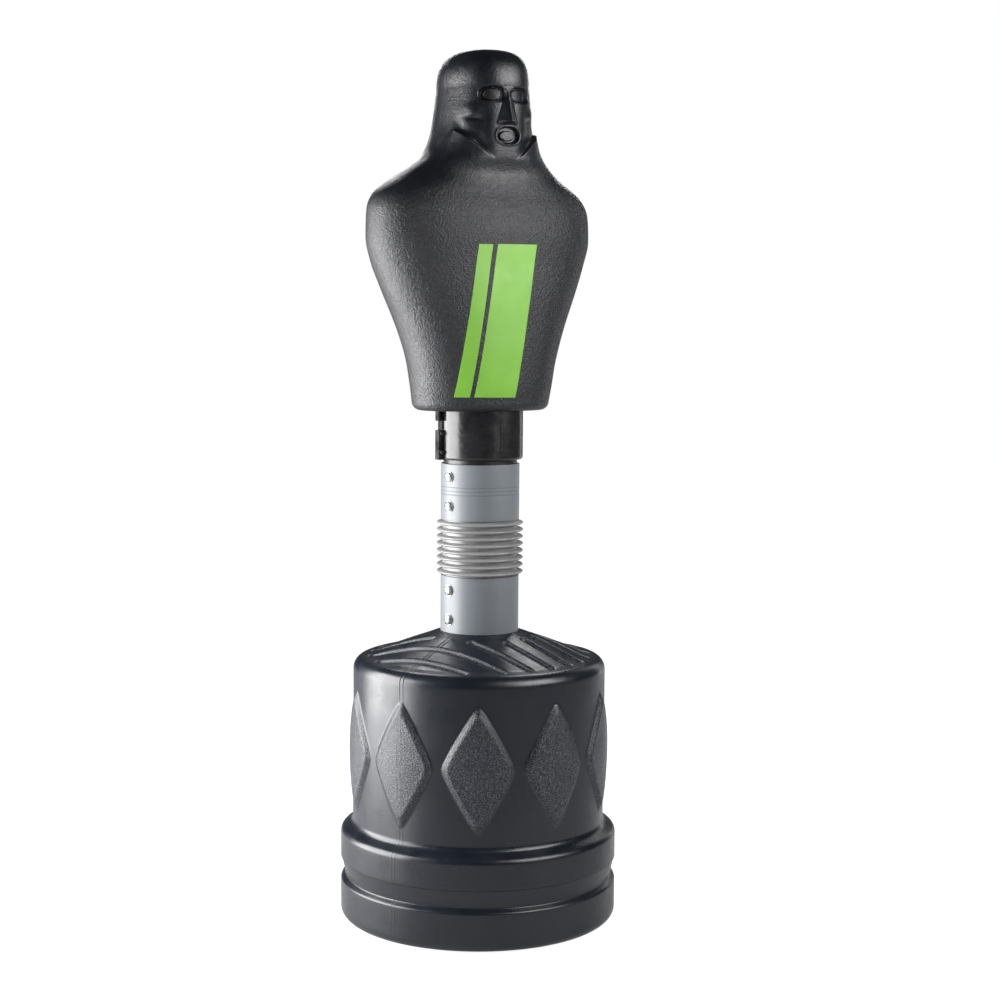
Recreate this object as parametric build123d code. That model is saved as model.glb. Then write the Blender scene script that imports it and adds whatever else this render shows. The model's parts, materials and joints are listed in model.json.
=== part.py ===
"""Free-standing heavy punching bag.

A padded head-and-torso stands on a steel spring neck inside a rubber bellows, on a hollow
ballast tank. Millimetres, +Z up, the bag faces -Y, origin on the floor on the neck's axis.
"""

import os
from math import cos, radians, sin

from build123d import *

# Ballast tank
TANK_R = 283.5
BODY_R = 258.5
TANK_TOP = 590.0
TANK_WALL = 6.0
FOOT_INNER_R = 62.0
RECESS_HEIGHT = 36.0
RIM_TOP = 182.0
GROOVE_R = 271.0
GROOVE_LOW = 79.0
GROOVE_HIGH = 102.0

# Filler neck and cap, on the rear half of the tank's dome
FILLER_HEADING = 152.0
FILLER_R = 165.0
FILLER_Z = 560.0
FILLER_TILT = 21.0
FILLER_BOSS_R = 38.0
FILLER_NECK_R = 22.0
FILLER_BORE_R = 17.0
FILLER_NECK_HEIGHT = 15.0
GASKET_THICK = 2.2
CAP_R = 30.0
CAP_HEIGHT = 22.0
CAP_GAP = 4.0
CAP_GRIP = (46.0, 9.0, 8.0)
THREAD_CLEARANCE = 0.08

# Column: posts, sleeves and screws
SLEEVE_R = 80.0
SLEEVE_BORE_R = 75.4
POST_R = 75.0
POST_WALL = 4.0
WELL_FLOOR = 44.0
POST_PLATE = 8.0
SPRING_MID = 762.5
SLEEVE_REACH = 57.0
UPPER_SLEEVE_TOP = 933.5
UPPER_POST_TOP = 1430.0
SCREW_HEADING = 79.0
SCREW_R = 4.0
TAPPED_R = 4.03
HOLE_R = 4.3
SCREW_ROWS = (85.0, 145.0)
SCREW_HEAD_R = 10.5
WASHER_R = 12.0
WASHER_THICK = 1.6
NUT_R = 7.5
NUT_THICK = 6.5
FINE_GROOVES = (872.0, 879.5, 887.0)

# Spring, its seats and the bellows round it; the lower half is turned over to make the upper
WIRE_D = 18.0
COIL_R = 48.0
COIL_PITCH = 32.0
COIL_TURNS = 6
SPRING_HALF = 95.5
SEAT_PLATE = 12.0
SEAT_R = 70.3
SEAT_WALL = 8.0
SEAT_LIP = 62.5
BOSS_R = 38.0
BOSS_HEIGHT = 13.4
CLAMP_REACH = 54.0
CLAMP_THICK = 8.0
CLAMP_WIDTH = 24.0
SEAT_BOLT_R = 6.0
RING_COUNT = 8
RING_PITCH = 14.3
RING_ROUND_R = 4.7
RING_R = 88.5
VALLEY_R = 78.0
CUFF_R = 75.1
CUFF_INNER_R = 70.6
CUFF_REACH = 107.0

# Neck clamp that carries the torso
CLAMP_R = 86.5
CLAMP_BORE_R = 75.3
CLAMP_BOTTOM = 942.0
TORSO_BOTTOM = 1041.5
FLANGE_X = 96.5
FRONT_FLANGE = 3.0
REAR_FLANGE = 12.5
FLANGE_GAP = 0.4
NOTCH_Z = 1011.0
NOTCH_HEIGHT = 19.0
NOTCH_X = 89.0
PART_LINE_BOTTOM = 955.0
CLAMP_BOLT_X = 90.8
CLAMP_BOLT_ROWS = (957.0, 995.0)
CLAMP_BOLT_R = 2.5

# Torso: height, half breadth, half depth and how far its centre stands forward
TORSO_SECTIONS = [
    (1041.5, 136.0, 90.0, 0.0),
    (1056.0, 148.0, 102.0, 0.0),
    (1092.0, 153.5, 106.0, 2.0),
    (1145.0, 163.0, 110.0, 2.0),
    (1204.0, 182.0, 115.0, -1.0),
    (1290.0, 217.0, 123.0, -6.0),
    (1338.0, 235.0, 126.0, -9.0),
    (1386.0, 246.0, 126.0, -9.0),
    (1435.0, 244.5, 123.0, -10.0),
    (1474.0, 226.5, 119.0, -16.0),
    (1507.0, 180.0, 117.0, -21.0),
    (1544.0, 129.0, 113.0, -8.0),
    (1584.0, 106.0, 112.0, -3.0),
    (1643.0, 92.7, 112.0, -1.0),
    (1702.0, 86.3, 110.0, 0.0),
    (1731.0, 76.5, 99.0, 1.0),
    (1748.0, 58.5, 77.0, 5.0),
    (1757.0, 20.0, 26.0, 13.0),
]
SKIN_THICK = 5.0
CORE_TOP = 1440.0
CORE_R = 79.6
STRIPE_THICK = 0.6
NARROW_STRIPE = [(-64, 1371), (-34, 1371), (-74, 1070), (-102, 1070)]
WIDE_STRIPE = [(-23, 1371), (66, 1372), (24, 1069), (-65, 1070)]


def heading(degrees):
    """Unit vector at an angle from the front towards the bag's left (+X)."""
    return Vector(sin(radians(degrees)), -cos(radians(degrees)), 0)


def disc(radius, low, high):
    """Solid cylinder about the neck's axis between two heights."""
    return Pos(0, 0, low) * Cylinder(radius, high - low, align=(Align.CENTER, Align.CENTER, Align.MIN))


def tube(outer, inner, low, high):
    """Plain tube about the neck's axis."""
    return disc(outer, low, high) - disc(inner, low - 1, high + 1)


def lathe(points, radii):
    """Solid of revolution from a closed (radius, height) outline with a fillet at each corner."""
    outline = FilletPolyline([(r, 0, z) for r, z in points], radius=radii, close=True)
    return revolve(make_face(outline), Axis.Z)


def turned_over(shape):
    """The same piece at the other end of the spring."""
    return shape.rotate(Axis((0, 0, SPRING_MID), (1, 0, 0)), 180)


def across(direction, distance, height, radius, length):
    """Rod that points along a horizontal direction, from a distance outwards."""
    plane = Plane(direction * distance + Vector(0, 0, height), z_dir=direction)
    return plane * Cylinder(radius, length, align=(Align.CENTER, Align.CENTER, Align.MIN))


def drilled(shape, rows, radius, depth=200.0):
    """The shape with the column's screw holes through both sides at each height."""
    for height in rows:
        for side in (heading(-SCREW_HEADING), heading(180 - SCREW_HEADING)):
            shape -= across(side, 30.0, height, radius, depth)
    return shape


def filler_frame():
    """Frame on the dome, Z along the filler neck."""
    lean = radians(FILLER_TILT)
    out = heading(FILLER_HEADING)
    origin = out * FILLER_R + Vector(0, 0, FILLER_Z)
    return Plane(origin, x_dir=(-out.Y, out.X, 0), z_dir=out * sin(lean) + Vector(0, 0, cos(lean)))


def filler_disc(radius, low, high):
    """Cylinder on the filler neck's own axis."""
    return filler_frame() * disc(radius, low, high)


# --- tank -----------------------------------------------------------------------------------


def tank_outline():
    """Outer form of the tank as one turned solid."""
    corners = [
        (0, 0), (TANK_R, 0), (TANK_R, GROOVE_LOW), (GROOVE_R, 88), (GROOVE_R, 95),
        (TANK_R, GROOVE_HIGH), (TANK_R, RIM_TOP), (BODY_R, 197), (BODY_R, 534),
        (218, 538), (150, 566), (83, TANK_TOP), (0, TANK_TOP),
    ]
    radii = [0, 19, 4, 2, 2, 4, 14, 14, 38, 50, 250, 3, 0]
    return lathe(corners, radii)


def tank_cavity():
    """Ballast space between the outer wall and the post's well."""
    inner = FOOT_INNER_R + TANK_WALL
    well = SLEEVE_BORE_R + TANK_WALL
    low, wide = TANK_WALL, TANK_R - TANK_WALL
    corners = [
        (inner, low), (wide, low), (wide, 74), (GROOVE_R - TANK_WALL, 84),
        (GROOVE_R - TANK_WALL, 100), (wide, 107), (wide, 177),
        (BODY_R - TANK_WALL, 192), (BODY_R - TANK_WALL, 527), (214, 531),
        (148, 559), (well, 583), (well, 30), (inner, 30),
    ]
    return lathe(corners, [4, 13, 4, 3, 3, 4, 10, 14, 32, 50, 250, 3, 4, 4])


def base_tank():
    tank = tank_outline()
    tank += filler_disc(FILLER_BOSS_R, -20, 0)
    tank += filler_disc(FILLER_NECK_R, -1, FILLER_NECK_HEIGHT)
    tank -= tank_cavity()
    tank -= filler_disc(FILLER_BORE_R, -60, 40)
    tank -= disc(SLEEVE_BORE_R, WELL_FLOOR, 600)
    tank -= disc(FOOT_INNER_R, -1, RECESS_HEIGHT)
    tank -= disc(SEAT_BOLT_R + 0.4, 0, 60)
    return tank


def filler_cap():
    """Screw cap with a bar across its top to turn it by."""
    seal_top = FILLER_NECK_HEIGHT + GASKET_THICK
    cap = filler_disc(CAP_R, CAP_GAP, CAP_HEIGHT)
    cap -= filler_disc(FILLER_NECK_R + THREAD_CLEARANCE, CAP_GAP - 1, seal_top)
    grip = Pos(0, 0, CAP_HEIGHT + CAP_GRIP[2] / 2) * Box(*CAP_GRIP)
    return cap + filler_frame() * grip


def filler_gasket():
    seal_top = FILLER_NECK_HEIGHT + GASKET_THICK
    ring = disc(FILLER_NECK_R - 0.5, FILLER_NECK_HEIGHT, seal_top) - disc(FILLER_BORE_R + 0.5, 0, 40)
    return filler_frame() * ring


# --- column ---------------------------------------------------------------------------------


def base_post():
    post = tube(POST_R, POST_R - POST_WALL, WELL_FLOOR, SPRING_MID - CUFF_REACH - 3)
    post += tube(POST_R, SEAT_BOLT_R + 0.4, WELL_FLOOR, WELL_FLOOR + POST_PLATE)
    return drilled(post, [SPRING_MID - SCREW_ROWS[1]], HOLE_R)


def upper_post():
    post = tube(POST_R, POST_R - POST_WALL, SPRING_MID + CUFF_REACH + 3, UPPER_POST_TOP)
    return drilled(post, [SPRING_MID + SCREW_ROWS[1]], HOLE_R)


def lower_sleeve():
    sleeve = tube(SLEEVE_R, SLEEVE_BORE_R, TANK_TOP, SPRING_MID - SLEEVE_REACH)
    return drilled(sleeve, [SPRING_MID - row for row in SCREW_ROWS], HOLE_R)


def upper_sleeve():
    sleeve = tube(SLEEVE_R, SLEEVE_BORE_R, SPRING_MID + SLEEVE_REACH, UPPER_SLEEVE_TOP)
    for height in FINE_GROOVES:
        sleeve -= tube(SLEEVE_R + 1, SLEEVE_R - 0.7, height - 0.8, height + 0.8)
    return drilled(sleeve, [SPRING_MID + row for row in SCREW_ROWS], HOLE_R)


def on_both_sides(make, rows):
    """One solid per screw place: both sides of the column at each height."""
    pieces = []
    for height in rows:
        for side in (-SCREW_HEADING, 180 - SCREW_HEADING):
            pieces.append(make(heading(side), height))
    return Compound(children=pieces)


def sleeve_screw(direction, height):
    """Pan-head screw through the sleeve, with a cross recess in its domed head."""
    seat = SLEEVE_R + WASHER_THICK
    into_spring_seat = abs(height - SPRING_MID) < SCREW_ROWS[1]
    shank_start = SEAT_R - SEAT_WALL + 1 if into_spring_seat else POST_R - POST_WALL - NUT_THICK - 2
    screw = across(direction, shank_start, height, SCREW_R, seat - shank_start)
    plane = Plane(direction * seat + Vector(0, 0, height), z_dir=direction)
    dome_r = 16.0
    dome = Pos(0, 0, 6 - dome_r) * Sphere(dome_r)
    head = Cylinder(SCREW_HEAD_R, 7, align=(Align.CENTER, Align.CENTER, Align.MIN)) & dome
    for turn in (0, 90):
        head -= Rot(0, 0, turn) * Pos(0, 0, 6) * Box(9, 1.8, 5)
    return screw + plane * head


def sleeve_washer(direction, height):
    """Washer curved to sit on the sleeve."""
    washer = across(direction, SLEEVE_R - 1.5, height, WASHER_R, WASHER_THICK + 1.5)
    washer -= across(direction, 60, height, SCREW_R + 0.1, 40)
    return washer - disc(SLEEVE_R, height - 30, height + 30)


def sleeve_nut(direction, height):
    """Hex nut inside the post, its outer face hollowed to the post's bore."""
    plane = Plane(direction * (POST_R - POST_WALL - NUT_THICK) + Vector(0, 0, height), z_dir=direction)
    nut = extrude(plane * RegularPolygon(NUT_R, 6), NUT_THICK + 1)
    nut &= disc(POST_R - POST_WALL, height - 30, height + 30)
    return nut - across(direction, 40, height, TAPPED_R, 60)


def hex_bolt(axis_radius, head_low, head_high, end, head_r):
    """Hex-head bolt on the neck's axis, its head between two heights and its end at a third."""
    head = Pos(0, 0, head_low) * extrude(RegularPolygon(head_r, 6), head_high - head_low)
    return head + disc(axis_radius, min(head_low, end), max(head_high, end))


def hex_nut(bore_r, nut_r, low, high):
    return Pos(0, 0, low) * extrude(RegularPolygon(nut_r, 6), high - low) - disc(bore_r, low - 1, high + 1)


# --- spring neck ----------------------------------------------------------------------------


def coil_spring():
    """Heavy open-wound spring with both ends ground flat."""
    height = COIL_PITCH * COIL_TURNS
    start = SPRING_MID - height / 2
    path = Helix(COIL_PITCH, height, COIL_R, center=(0, 0, start))
    section = Plane(path @ 0, z_dir=path % 0) * Circle(WIRE_D / 2)
    coil = sweep(section, path=path)
    return coil & disc(COIL_R + WIRE_D, SPRING_MID - SPRING_HALF, SPRING_MID + SPRING_HALF)


def spring_seat():
    """Lower spring seat before its tapped holes: a cup with a boss that centres the coil."""
    floor = SPRING_MID - SPRING_HALF
    seat = disc(SEAT_R, floor - SEAT_PLATE, SPRING_MID - SEAT_LIP)
    seat -= disc(SEAT_R - SEAT_WALL, floor, SPRING_MID)
    seat += disc(BOSS_R, floor, floor + BOSS_HEIGHT)
    return seat - disc(SEAT_BOLT_R + 0.4, floor - 20, floor + 40)


def lower_spring_seat():
    return drilled(spring_seat(), [SPRING_MID - SCREW_ROWS[0]], TAPPED_R)


def upper_spring_seat():
    return drilled(turned_over(spring_seat()), [SPRING_MID + SCREW_ROWS[0]], TAPPED_R)


def lower_spring_clamp():
    """Bar on the seat's boss that holds down the first coil."""
    low = SPRING_MID - SPRING_HALF + BOSS_HEIGHT
    inner = BOSS_R - 8
    bar = Pos((CLAMP_REACH - inner) / 2, 0, low + CLAMP_THICK / 2) * Box(
        CLAMP_REACH + inner, CLAMP_WIDTH, CLAMP_THICK
    )
    bar -= disc(SEAT_BOLT_R + 0.4, low - 5, low + 20)
    return bar.rotate(Axis.Z, 38)


def lower_seat_bolt():
    under = SPRING_MID - SPRING_HALF - SEAT_PLATE
    top = SPRING_MID - SPRING_HALF + BOSS_HEIGHT + CLAMP_THICK + 14
    return hex_bolt(SEAT_BOLT_R, under - 8, under, top, 10.5)


def lower_seat_nut():
    low = SPRING_MID - SPRING_HALF + BOSS_HEIGHT + CLAMP_THICK
    return hex_nut(SEAT_BOLT_R + 0.03, 10.5, low, low + 10)


def bellows():
    """Rubber bellows: round rings with narrow valleys, and a cuff at each end inside the sleeves."""
    first = SPRING_MID - (RING_COUNT - 1) / 2 * RING_PITCH
    end = SLEEVE_REACH - 0.3
    body = disc(VALLEY_R, SPRING_MID - end, SPRING_MID + end)
    body += disc(CUFF_R, SPRING_MID - CUFF_REACH, SPRING_MID + CUFF_REACH)
    for k in range(RING_COUNT):
        body += Pos(0, 0, first + k * RING_PITCH) * Torus(RING_R - RING_ROUND_R, RING_ROUND_R)
    body -= disc(CUFF_INNER_R, SPRING_MID - CUFF_REACH - 1, SPRING_MID + CUFF_REACH + 1)
    rows = [SPRING_MID - SCREW_ROWS[0], SPRING_MID + SCREW_ROWS[0]]
    return drilled(body, rows, HOLE_R)


# --- neck clamp and torso -------------------------------------------------------------------


def neck_clamp(side):
    """Half of the clamp, on the front (-1) or rear (+1) of the post."""
    height = TORSO_BOTTOM - CLAMP_BOTTOM
    middle = (TORSO_BOTTOM + CLAMP_BOTTOM) / 2
    half = tube(CLAMP_R, CLAMP_BORE_R, CLAMP_BOTTOM, TORSO_BOTTOM)
    rim = half.edges().filter_by(GeomType.CIRCLE).group_by(Axis.Z)[0].sort_by(SortBy.RADIUS)[-1]
    half = fillet(rim, 6)
    half &= Pos(0, side * (FLANGE_GAP + 100), middle) * Box(300, 200, height + 2)
    thick = FRONT_FLANGE if side < 0 else REAR_FLANGE
    for x in (-1, 1):
        inner = CLAMP_BORE_R + 4
        flange = Pos(x * (FLANGE_X + inner) / 2, side * (FLANGE_GAP + thick / 2), middle) * Box(
            FLANGE_X - inner, thick, height
        )
        flange -= Pos(x * (NOTCH_X + 10), 0, NOTCH_Z) * Box(20, 40, NOTCH_HEIGHT)
        half += flange
        for row in CLAMP_BOLT_ROWS:
            half -= Pos(x * CLAMP_BOLT_X, 0, row) * Rot(90, 0, 0) * Cylinder(CLAMP_BOLT_R + 0.2, 60)
    if side < 0:
        line = TORSO_BOTTOM - PART_LINE_BOTTOM
        half -= Pos(0, -CLAMP_R, PART_LINE_BOTTOM + line / 2) * Box(1.0, 2.4, line)
    return half


def clamp_places():
    return [(x * CLAMP_BOLT_X, row) for x in (-1, 1) for row in CLAMP_BOLT_ROWS]


def rod_y(x, z, radius, low, high):
    """Rod along Y between two Y values."""
    return Plane((x, low, z), z_dir=(0, 1, 0)) * Cylinder(
        radius, high - low, align=(Align.CENTER, Align.CENTER, Align.MIN)
    )


def clamp_bolts():
    front = -FLANGE_GAP - FRONT_FLANGE
    rear = FLANGE_GAP + REAR_FLANGE
    bolts = []
    for x, z in clamp_places():
        bolts.append(rod_y(x, z, CLAMP_BOLT_R, front, rear + 6) + rod_y(x, z, 4.0, front - 4.5, front))
    return Compound(children=bolts)


def clamp_nuts():
    rear = FLANGE_GAP + REAR_FLANGE
    nuts = []
    for x, z in clamp_places():
        nut = extrude(Plane((x, rear, z), z_dir=(0, 1, 0)) * RegularPolygon(4.5, 6), 4)
        nuts.append(nut - rod_y(x, z, CLAMP_BOLT_R + 0.03, 0, 30))
    return Compound(children=nuts)


def torso_form(inset):
    """Smooth head-and-torso form, drawn in by an inset all over."""
    low, high = TORSO_SECTIONS[0][0] + inset, TORSO_SECTIONS[-1][0] - inset
    span = TORSO_SECTIONS[-1][0] - TORSO_SECTIONS[0][0]
    rings = []
    for z, breadth, depth, forward in TORSO_SECTIONS:
        level = low + (z - TORSO_SECTIONS[0][0]) * (high - low) / span
        shrink = min(inset, 0.5 * breadth)
        rings.append(Pos(0, -forward, level) * Ellipse(breadth - shrink, depth - shrink))
    return loft(rings)


def torso_core():
    """Moulded tube closed at the top, which the torso is foamed round."""
    core = disc(CORE_R, TORSO_BOTTOM, CORE_TOP)
    return core - disc(SLEEVE_BORE_R, TORSO_BOTTOM - 1, UPPER_POST_TOP + 1)


def torso_foam(inner):
    return inner - disc(CORE_R, TORSO_BOTTOM - 1, CORE_TOP)


def torso_skin(outer, inner):
    return outer - inner - disc(CORE_R, TORSO_BOTTOM - 10, TORSO_BOTTOM + 50)


def stripe(outer, corners):
    """Thin film on the chest, cut from a layer just over the skin."""
    region = extrude(Plane.XZ * make_face(Polyline(*corners, close=True)), 300)
    layer = torso_form(-STRIPE_THICK) - outer
    return layer & region


def main():
    os.makedirs("parts", exist_ok=True)
    outer = torso_form(0)
    inner = torso_form(SKIN_THICK)
    lower_rows = [SPRING_MID - row for row in SCREW_ROWS]
    upper_rows = [SPRING_MID + row for row in SCREW_ROWS]
    anchor_top = WELL_FLOOR + POST_PLATE
    nodes = {
        "base_tank": base_tank(),
        "filler_gasket": filler_gasket(),
        "filler_cap": filler_cap(),
        "anchor_bolt": hex_bolt(SEAT_BOLT_R, RECESS_HEIGHT - 11, RECESS_HEIGHT - 3, anchor_top + 22, 10.5),
        "anchor_washer": tube(20, SEAT_BOLT_R + 0.2, RECESS_HEIGHT - 3, RECESS_HEIGHT),
        "anchor_nut": hex_nut(SEAT_BOLT_R + 0.03, 10.5, anchor_top, anchor_top + 10),
        "base_post": base_post(),
        "lower_sleeve": lower_sleeve(),
        "lower_screws": on_both_sides(sleeve_screw, lower_rows),
        "lower_washers": on_both_sides(sleeve_washer, lower_rows),
        "lower_nuts": on_both_sides(sleeve_nut, lower_rows[1:]),
        "lower_spring_seat": lower_spring_seat(),
        "lower_spring_clamp": lower_spring_clamp(),
        "lower_seat_bolt": lower_seat_bolt(),
        "lower_seat_nut": lower_seat_nut(),
        "coil_spring": coil_spring(),
        "bellows": bellows(),
        "upper_spring_seat": upper_spring_seat(),
        "upper_spring_clamp": turned_over(lower_spring_clamp()),
        "upper_seat_bolt": turned_over(lower_seat_bolt()),
        "upper_seat_nut": turned_over(lower_seat_nut()),
        "upper_sleeve": upper_sleeve(),
        "upper_screws": on_both_sides(sleeve_screw, upper_rows),
        "upper_washers": on_both_sides(sleeve_washer, upper_rows),
        "upper_nuts": on_both_sides(sleeve_nut, upper_rows[1:]),
        "upper_post": upper_post(),
        "neck_clamp_front": neck_clamp(-1),
        "neck_clamp_rear": neck_clamp(1),
        "clamp_bolts": clamp_bolts(),
        "clamp_nuts": clamp_nuts(),
        "torso_core": torso_core(),
        "torso_foam": torso_foam(inner),
        "torso_skin": torso_skin(outer, inner),
        "narrow_stripe": stripe(outer, NARROW_STRIPE),
        "wide_stripe": stripe(outer, WIDE_STRIPE),
    }
    for name, shape in nodes.items():
        export_step(shape, f"parts/{name}.step")


main()
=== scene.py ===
"""Visual model of a free-standing punching bag: moulded torso, sprung neck, bellows and ballast tank.

Metres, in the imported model's frame: +Z up, the bag faces -Y, origin on the floor on the neck's axis.
"""

import json
from math import ceil, cos, pi, radians, sin, tan

import bpy
import numpy as np
from mathutils import Matrix, Vector


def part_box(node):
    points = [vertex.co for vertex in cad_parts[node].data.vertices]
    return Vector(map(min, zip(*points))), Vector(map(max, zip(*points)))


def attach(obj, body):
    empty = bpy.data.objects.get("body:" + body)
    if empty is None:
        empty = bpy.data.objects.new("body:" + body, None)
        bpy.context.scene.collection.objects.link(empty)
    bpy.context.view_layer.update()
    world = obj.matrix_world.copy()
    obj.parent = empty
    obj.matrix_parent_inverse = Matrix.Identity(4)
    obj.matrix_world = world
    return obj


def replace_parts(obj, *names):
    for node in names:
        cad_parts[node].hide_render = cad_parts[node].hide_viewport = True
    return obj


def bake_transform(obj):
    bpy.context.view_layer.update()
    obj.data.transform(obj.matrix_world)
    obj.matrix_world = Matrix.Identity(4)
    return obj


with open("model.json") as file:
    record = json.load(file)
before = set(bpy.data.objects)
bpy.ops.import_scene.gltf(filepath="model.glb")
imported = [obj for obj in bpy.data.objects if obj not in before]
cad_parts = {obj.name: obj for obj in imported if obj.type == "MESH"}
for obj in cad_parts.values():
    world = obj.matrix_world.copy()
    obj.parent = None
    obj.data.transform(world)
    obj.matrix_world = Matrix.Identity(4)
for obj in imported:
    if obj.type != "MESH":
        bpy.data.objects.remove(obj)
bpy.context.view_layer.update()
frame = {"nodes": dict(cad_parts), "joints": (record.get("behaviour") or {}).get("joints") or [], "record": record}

# Camera, as a tripod at the bag's front right
CAMERA_HEADING = -28.0
CAMERA_DISTANCE = 3.815
CAMERA_HEIGHT = 1.2015
CAMERA_TILT = 5.154
CAMERA_TURN = 0.61
CAMERA_ROLL = 0.35
LENS = 67.46

# Tank outline, clockwise from the well's floor: (radius, height, fillet, spacing on the run that follows)
TANK_OUTLINE = [
    (0.0070, 0.044, 0.000, 0.012),
    (0.0754, 0.044, 0.003, 0.060),
    (0.0754, 0.590, 0.002, 0.003),
    (0.0830, 0.590, 0.003, 0.0026),
    (0.1500, 0.566, 0.250, 0.0026),
    (0.2180, 0.540, 0.050, 0.0026),
    (0.2585, 0.534, 0.025, 0.0030),
    (0.2585, 0.197, 0.014, 0.0050),
    (0.2835, 0.182, 0.014, 0.0080),
    (0.2835, 0.1245, 0.001, 0.0012),
    (0.2815, 0.1225, 0.001, 0.0040),
    (0.2735, 0.087, 0.003, 0.0040),
    (0.2835, 0.079, 0.006, 0.0080),
    (0.2835, 0.000, 0.019, 0.0250),
    (0.0620, 0.000, 0.004, 0.0200),
    (0.0550, 0.036, 0.004, 0.0120),
    (0.0070, 0.036, 0.000, 0.0040),
]
TANK_COLUMNS = 760
BODY_R = 0.2585
BODY_LOW = 0.197
BODY_HIGH = 0.534
DOME_LOW = 0.536
PAD_COUNT = 10
PAD_HEADING = -28.0
PAD_Z = 0.354
PAD_HALF_HEIGHT = 0.117
PAD_HALF_WIDTH = 0.0665
PAD_CORNER = (0.007, 0.011)
PAD_BEVEL = 0.014
PAD_PROUD = 0.0075
PAD_CROWN = 0.0015
PAD_CROWN_REACH = 0.06
CHANNEL_HEADING = 26.0
CHANNEL_PITCH = 0.049
CHANNEL_SIDE = 4
CHANNEL_HALF_WIDTH = 0.010
CHANNEL_DEPTH = 0.0060
CHANNEL_BEVEL = 0.0060
CHANNEL_INNER_R = 0.105
CHANNEL_OUTER_R = 0.228
FLASH_HEADING = -64.0
FLASH_SPACING = 0.0042
FLASH_WIDTH = 0.0009
FLASH_PROUD = 0.0009
WALL_WAVE = 0.00035
BOSS_R = 0.038
BOSS_PROUD = 0.004
BOSS_EDGE = 0.006
BOSS_CLEAR = (0.004, 0.012)

# Filler spout and cap, about the axis of the cap's joint
SPOUT_R = 0.0218
SPOUT_BORE_R = 0.0172
SPOUT_HEIGHT = 0.015
SPOUT_ROOT = -0.010
SPOUT_COLUMNS = 120
THREAD_PITCH = 0.004
THREAD_PROUD = 0.0009
CAP_R = 0.030
CAP_LOW = 0.004
CAP_TOP = 0.022
CAP_BORE_R = 0.0233
CAP_ROOF = 0.019
CAP_FLUTES = 32
CAP_FLUTE_DEPTH = 0.0009
CAP_GRIP = (0.046, 0.009, 0.008)

# Column: sleeves, and the bellows and spring either side of the neck's middle
SLEEVE_R = 0.080
SLEEVE_BORE_R = 0.0754
SLEEVE_EDGE = 0.0011
SLEEVE_COLUMNS = 192
FINE_GROOVES = (0.872, 0.8795, 0.887)
FINE_GROOVE = (0.0008, 0.0016)
MID = 0.7625
CUFF_REACH = 0.107
CUFF_R = 0.0751
CUFF_INNER_R = 0.0706
RING_COUNT = 8
RING_PITCH = 0.0143
RING_R = 0.0885
VALLEY_R = 0.0765
RING_SHARE = 0.62
RING_FULLNESS = 0.6
BELLOWS_WALL = 0.0022
RING_WALL = BELLOWS_WALL * 1.6
BELLOWS_COLUMNS = 160
WIRE_R = 0.009
COIL_R = 0.048
COIL_PITCH = 0.032
SPRING_HALF = 0.0955

# Torso: height, half breadth, half depth and how far its centre stands forward
TORSO_BOTTOM = 1.0415
TORSO_EDGE = 0.018
TORSO_SECTIONS = [
    (1.0595, 0.1484, 0.102, 0.000),
    (1.092, 0.1534, 0.106, 0.002),
    (1.145, 0.163, 0.110, 0.002),
    (1.204, 0.1817, 0.115, -0.001),
    (1.290, 0.217, 0.123, -0.008),
    (1.338, 0.235, 0.126, -0.012),
    (1.386, 0.246, 0.126, -0.011),
    (1.435, 0.2445, 0.123, -0.012),
    (1.474, 0.2263, 0.119, -0.018),
    (1.507, 0.1798, 0.117, -0.022),
    (1.544, 0.129, 0.113, -0.009),
    (1.584, 0.106, 0.112, -0.003),
    (1.643, 0.0927, 0.112, -0.002),
    (1.680, 0.0877, 0.111, -0.001),
]
CROWN_START = 1.680
CROWN_TOP = 1.7565
CROWN_ROUNDNESS = 3.2
CROWN_FORWARD = 0.016
TORSO_ROUNDNESS = 2.2
TORSO_BORE_R = 0.0802
TORSO_HOLE_R = 0.0842
CORE_TOP = 1.4405
TORSO_COLUMNS = 420
NECK_START = 1.500
CHEST_ROW = 0.005
NECK_ROW = 0.0014
SEAM_PROUD = 0.00035

# Heading from which each torso section looks as wide as a plain ellipse of its half sizes
SIGHT_HEADING = -28.0

# Face and collar, as places on the front (across, height) and depths
EYE = (0.0305, 1.662)
EYE_HALF = (0.0260, 0.0160)
EYE_PAD_HALF = (0.0200, 0.0110)
EYE_DEPTH = 0.0105
EYE_PAD_DEPTH = 0.0078
NOSE_BRIDGE_Z = 1.679
NOSE_TIP_Z = 1.6095
NOSE_HALF_WIDTHS = (0.0075, 0.0240)
NOSE_PROUD = (0.0030, 0.0265)
MOUTH = (0.003, 1.5835)
MOUTH_HALF = (0.0250, 0.0168)
MOUTH_PAD = (0.0005, 1.5820)
MOUTH_PAD_HALF = (0.0168, 0.0090)
MOUTH_DEPTH = 0.0100
MOUTH_PAD_DEPTH = 0.0028
CHIN_Z = 1.537
JAW_HALF = 0.088
JAW_Z = 1.594
COLLAR_PROUD = 0.0050
COLLAR_PLANE_Y = -0.050

# Stripes on the chest: corners (across, height), from the top left, clockwise as the viewer sees them
STRIPES = {
    "narrow_stripe": [(-0.064, 1.3705), (-0.034, 1.3705), (-0.0735, 1.0705), (-0.102, 1.0705)],
    "wide_stripe": [(-0.0235, 1.3715), (0.066, 1.3725), (0.0235, 1.0695), (-0.065, 1.0705)],
}
STRIPE_PROUD = 0.0005
STRIPE_ROOT = 0.0012

SHARP_ANGLE = radians(50)


# ---------------------------------------------------------------- shaping helpers


def smooth(edge0, edge1, value):
    """Smooth step from 0 at edge0 to 1 at edge1."""
    t = np.clip((np.asarray(value, float) - edge0) / (edge1 - edge0), 0.0, 1.0)
    return t * t * (3.0 - 2.0 * t)


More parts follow.
